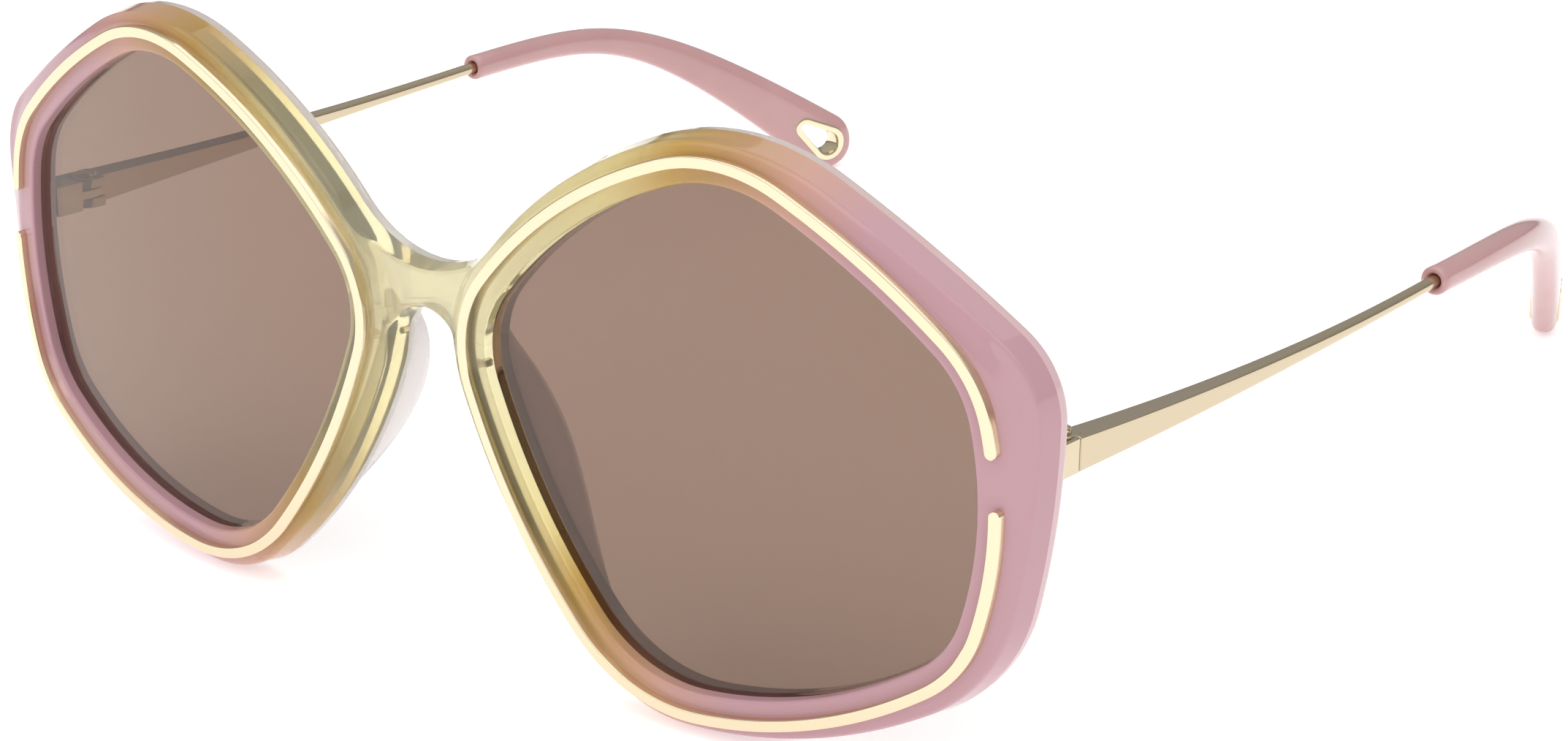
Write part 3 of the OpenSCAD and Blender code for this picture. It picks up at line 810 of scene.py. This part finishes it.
def temple_shape():
    """Blade that tapers from a rounded bar at the hinge to the round rod inside the tip."""
    rings = []
    steps = [(0, inset, back) for inset, back in eased_steps(BLADE_EASE)]
    steps += [(u, 0, 0) for u in np.linspace(0.002, 1, BLADE_RINGS)]
    for u, inset, back in steps:
        taper = (1 - u) ** 2
        tall = ROD_R + (HINGE_H / 2 - ROD_R) * taper - inset
        wide = ROD_R + (BLADE_T / 2 - ROD_R) * taper - inset
        rings.append(upright_section(temple_point(u) + [0, back, 0], tall, wide, 2 + 14 * (1 - u) ** 3))
    slope = np.array([0, math.cos(ROD_SLOPE), math.sin(ROD_SLOPE)])
    rings += [upright_section(ROD_START + slope * run, ROD_R, ROD_R, 2) for run in (0.4, 4.0)]
    return rings_mesh(rings)


def ear_outline():
    """Plan of an ear: a round knuckle joined to the temple's front end."""
    bow = arc(HINGE[:2], KNUCKLE_R, math.pi, 2 * math.pi, EAR_POINTS)
    out, back = HINGE[0] + KNUCKLE_R, HINGE[1] + EAR_RUN
    return np.concatenate([bow, [[out, HINGE[1]], [out, back], [HINGE[0] - KNUCKLE_R, back]]])


def ears_shape():
    """Both ears of a temple's hinge, above and below the endpiece's tongue."""
    ear = (HINGE_H - TONGUE_T) / 2 - EAR_GAP
    steps = eased_steps(EAR_EASE)
    steps += [(inset, ear - up) for inset, up in reversed(steps)]
    flat = ear_outline()
    middle = flat.mean(0)
    verts, faces = [], []
    for low in (HINGE[2] + HINGE_H / 2 - ear, HINGE[2] - HINGE_H / 2):
        rings = []
        for inset, up in steps:
            p = middle + (flat - middle) * (1 - inset / 2)
            rings.append(np.column_stack([p, np.full(len(p), low + up)]))
        v, f = rings_mesh(rings)
        faces += [tuple(i + len(verts) * len(v) for i in face) for face in f]
        verts.append(v)
    return np.concatenate(verts), faces


# ---------------------------------------------------------------- CAD metal parts with eased edges
def eased(node, name, body, mat, width):
    """A copy of a CAD node with small rounded edges of a width in millimetres."""
    mesh = frame["nodes"][node].data.copy()
    mesh.name = name
    bm = bmesh.new()
    bm.from_mesh(mesh)
    bmesh.ops.remove_doubles(bm, verts=bm.verts, dist=2e-6)
    bmesh.ops.dissolve_limit(bm, angle_limit=math.radians(1), verts=bm.verts, edges=bm.edges)
    bm.to_mesh(mesh)
    bm.free()
    obj = bpy.data.objects.new(name, mesh)
    bpy.context.scene.collection.objects.link(obj)
    mod = obj.modifiers.new("ease", "BEVEL")
    mod.width, mod.segments, mod.limit_method = width * MM, 3, "ANGLE"
    mod.angle_limit = math.radians(35)
    mod.use_clamp_overlap = True
    apply_modifiers(obj, 30)
    finish_piece(obj, body, mat, node)


# ---------------------------------------------------------------- build
FRONT_BODIES = ("front", "front")
ARMS = ("left_arm", "right_arm")
build_front()
build_rear()
both("tinted_lens", lens_shape, FRONT_BODIES, LENS_MAT, "lens", 40)
both("gold_strip", strip_shape, FRONT_BODIES, STRIP_GOLD, "rim_strip", 35)
both("pad_fin", pad_shape, FRONT_BODIES, PAD_MAT, "nose_pad", 60)
for piece, side in zip(both("tip_sleeve", tip_shape, ARMS, TIP_MAT, "temple_tip", 40),
                       ("left", "right")):
    pierce(piece, side)
both("temple_blade", temple_shape, ARMS, TEMPLE_GOLD, "temple", 40)
both("temple_ears", ears_shape, ARMS, TEMPLE_GOLD, "temple", 40)
both("eyelet_ring", eyelet_shape, ARMS, STRIP_GOLD, "tip_eyelet", 35)
for side in ("left", "right"):
    eased(side + "_endpiece", side + "_endpiece_metal", "front", HINGE_GOLD, ENDPIECE_EASE)
    eased(side + "_hinge_screw", side + "_screw_metal", side + "_arm", HINGE_GOLD, SCREW_EASE)
    pegs = frame["nodes"][side + "_strip_pegs"]
    pegs.data.materials.clear()
    pegs.data.materials.append(STRIP_GOLD)


# ---------------------------------------------------------------- floor, light and camera
# metres
FLOOR_HALF, FLOOR_DROP = 3.0, 0.0002
LIGHT_TARGET = (0, 0, 0.02)
# name, place, width and height in metres, watts
LIGHTS = [("key", (-0.3, -0.9, 1.3), (1.8, 1.4), 9.5),
          ("fill", (0.8, -0.4, 1.2), (1.2, 1.2), 5.5),
          ("back", (0.0, 0.7, 1.4), (1.6, 0.8), 4.2)]


def make_floor():
    """White floor that glows a little, so that it stays white and lights the glasses from below."""
    mesh = bpy.data.meshes.new("floor")
    s = FLOOR_HALF
    mesh.from_pydata([(-s, -s, 0), (s, -s, 0), (s, s, 0), (-s, s, 0)], [], [(0, 1, 2, 3)])
    floor = bpy.data.objects.new("floor", mesh)
    bpy.context.scene.collection.objects.link(floor)
    mat, _, bsdf = material("pale_floor", Roughness=0.9)
    bsdf.inputs["Base Color"].default_value = (0.95, 0.95, 0.95, 1)
    bsdf.inputs["Specular IOR Level"].default_value = 0.1
    bsdf.inputs["Emission Color"].default_value = (1, 1, 1, 1)
    bsdf.inputs["Emission Strength"].default_value = 0.42
    mesh.materials.append(mat)
    floor.location.z = -FLOOR_DROP


def area_light(name, location, size, power):
    data = bpy.data.lights.new(name, "AREA")
    data.shape = "RECTANGLE"
    data.size, data.size_y = size
    data.energy = power
    lamp = bpy.data.objects.new(name, data)
    bpy.context.scene.collection.objects.link(lamp)
    lamp.location = location
    lamp.rotation_mode = "QUATERNION"
    lamp.rotation_quaternion = (Vector(LIGHT_TARGET) - Vector(location)).to_track_quat("-Z", "Y")


def make_world():
    """Pale surroundings with a dark band just above the horizon, for the gloss to reflect."""
    world = bpy.data.worlds.new("studio")
    bpy.context.scene.world = world
    world.use_nodes = True
    tree = world.node_tree
    background = tree.nodes["Background"]
    co = tree.nodes.new("ShaderNodeTexCoord")
    sep = tree.nodes.new("ShaderNodeSeparateXYZ")
    tree.links.new(co.outputs["Generated"], sep.inputs[0])
    fac = math_node(tree, "MULTIPLY_ADD", sep.outputs[2], 0.5, 0.5)
    sky = ramp(tree, fac, [(0.0, (0.9, 0.9, 0.9)), (0.49, (0.8, 0.8, 0.8)), (0.50, (0.22, 0.20, 0.16)),
                           (0.53, (0.24, 0.22, 0.18)), (0.56, (0.9, 0.9, 0.9)), (1.0, (1.3, 1.3, 1.3))])
    tree.links.new(sky, background.inputs["Color"])
    background.inputs["Strength"].default_value = 0.43


# in the design's own frame: angles in radians, the rest in millimetres
CAMERA_AZIMUTH, CAMERA_ELEVATION = math.radians(38.5), math.radians(18.841)
CAMERA_ROLL = math.radians(0.747)
CAMERA_DISTANCE, CAMERA_TARGET = 337.9, np.array([48.44, 0.0, 0.0])
CAMERA_LENS, SENSOR = 83.34, 36.0


def make_camera():
    """Camera that looks at a point of the front from CAMERA_DISTANCE away."""
    a, e, r = CAMERA_AZIMUTH, CAMERA_ELEVATION, CAMERA_ROLL
    ahead = np.array([-math.sin(a) * math.cos(e), math.cos(a) * math.cos(e), -math.sin(e)])
    right = np.array([math.cos(a), math.sin(a), 0.0])
    up = np.cross(right, ahead)
    x = math.cos(r) * right + math.sin(r) * up
    y = -math.sin(r) * right + math.cos(r) * up
    data = bpy.data.cameras.new("camera")
    data.lens, data.sensor_width, data.sensor_fit = CAMERA_LENS, SENSOR, "HORIZONTAL"
    data.clip_start, data.clip_end = 0.01, 20.0
    cam = bpy.data.objects.new("camera", data)
    bpy.context.scene.collection.objects.link(cam)
    pose = np.eye(4)
    pose[:3, :3] = np.stack([TILT @ x, TILT @ y, -(TILT @ ahead)], 1)
    pose[:3, 3] = place([CAMERA_TARGET - CAMERA_DISTANCE * ahead])[0]
    cam.matrix_world = Matrix(pose.tolist())
    bpy.context.scene.camera = cam


make_floor()
make_world()
for light in LIGHTS:
    area_light(*light)
make_camera()
bpy.context.scene.view_settings.view_transform = "Standard"
bpy.context.scene.view_settings.look = "None"
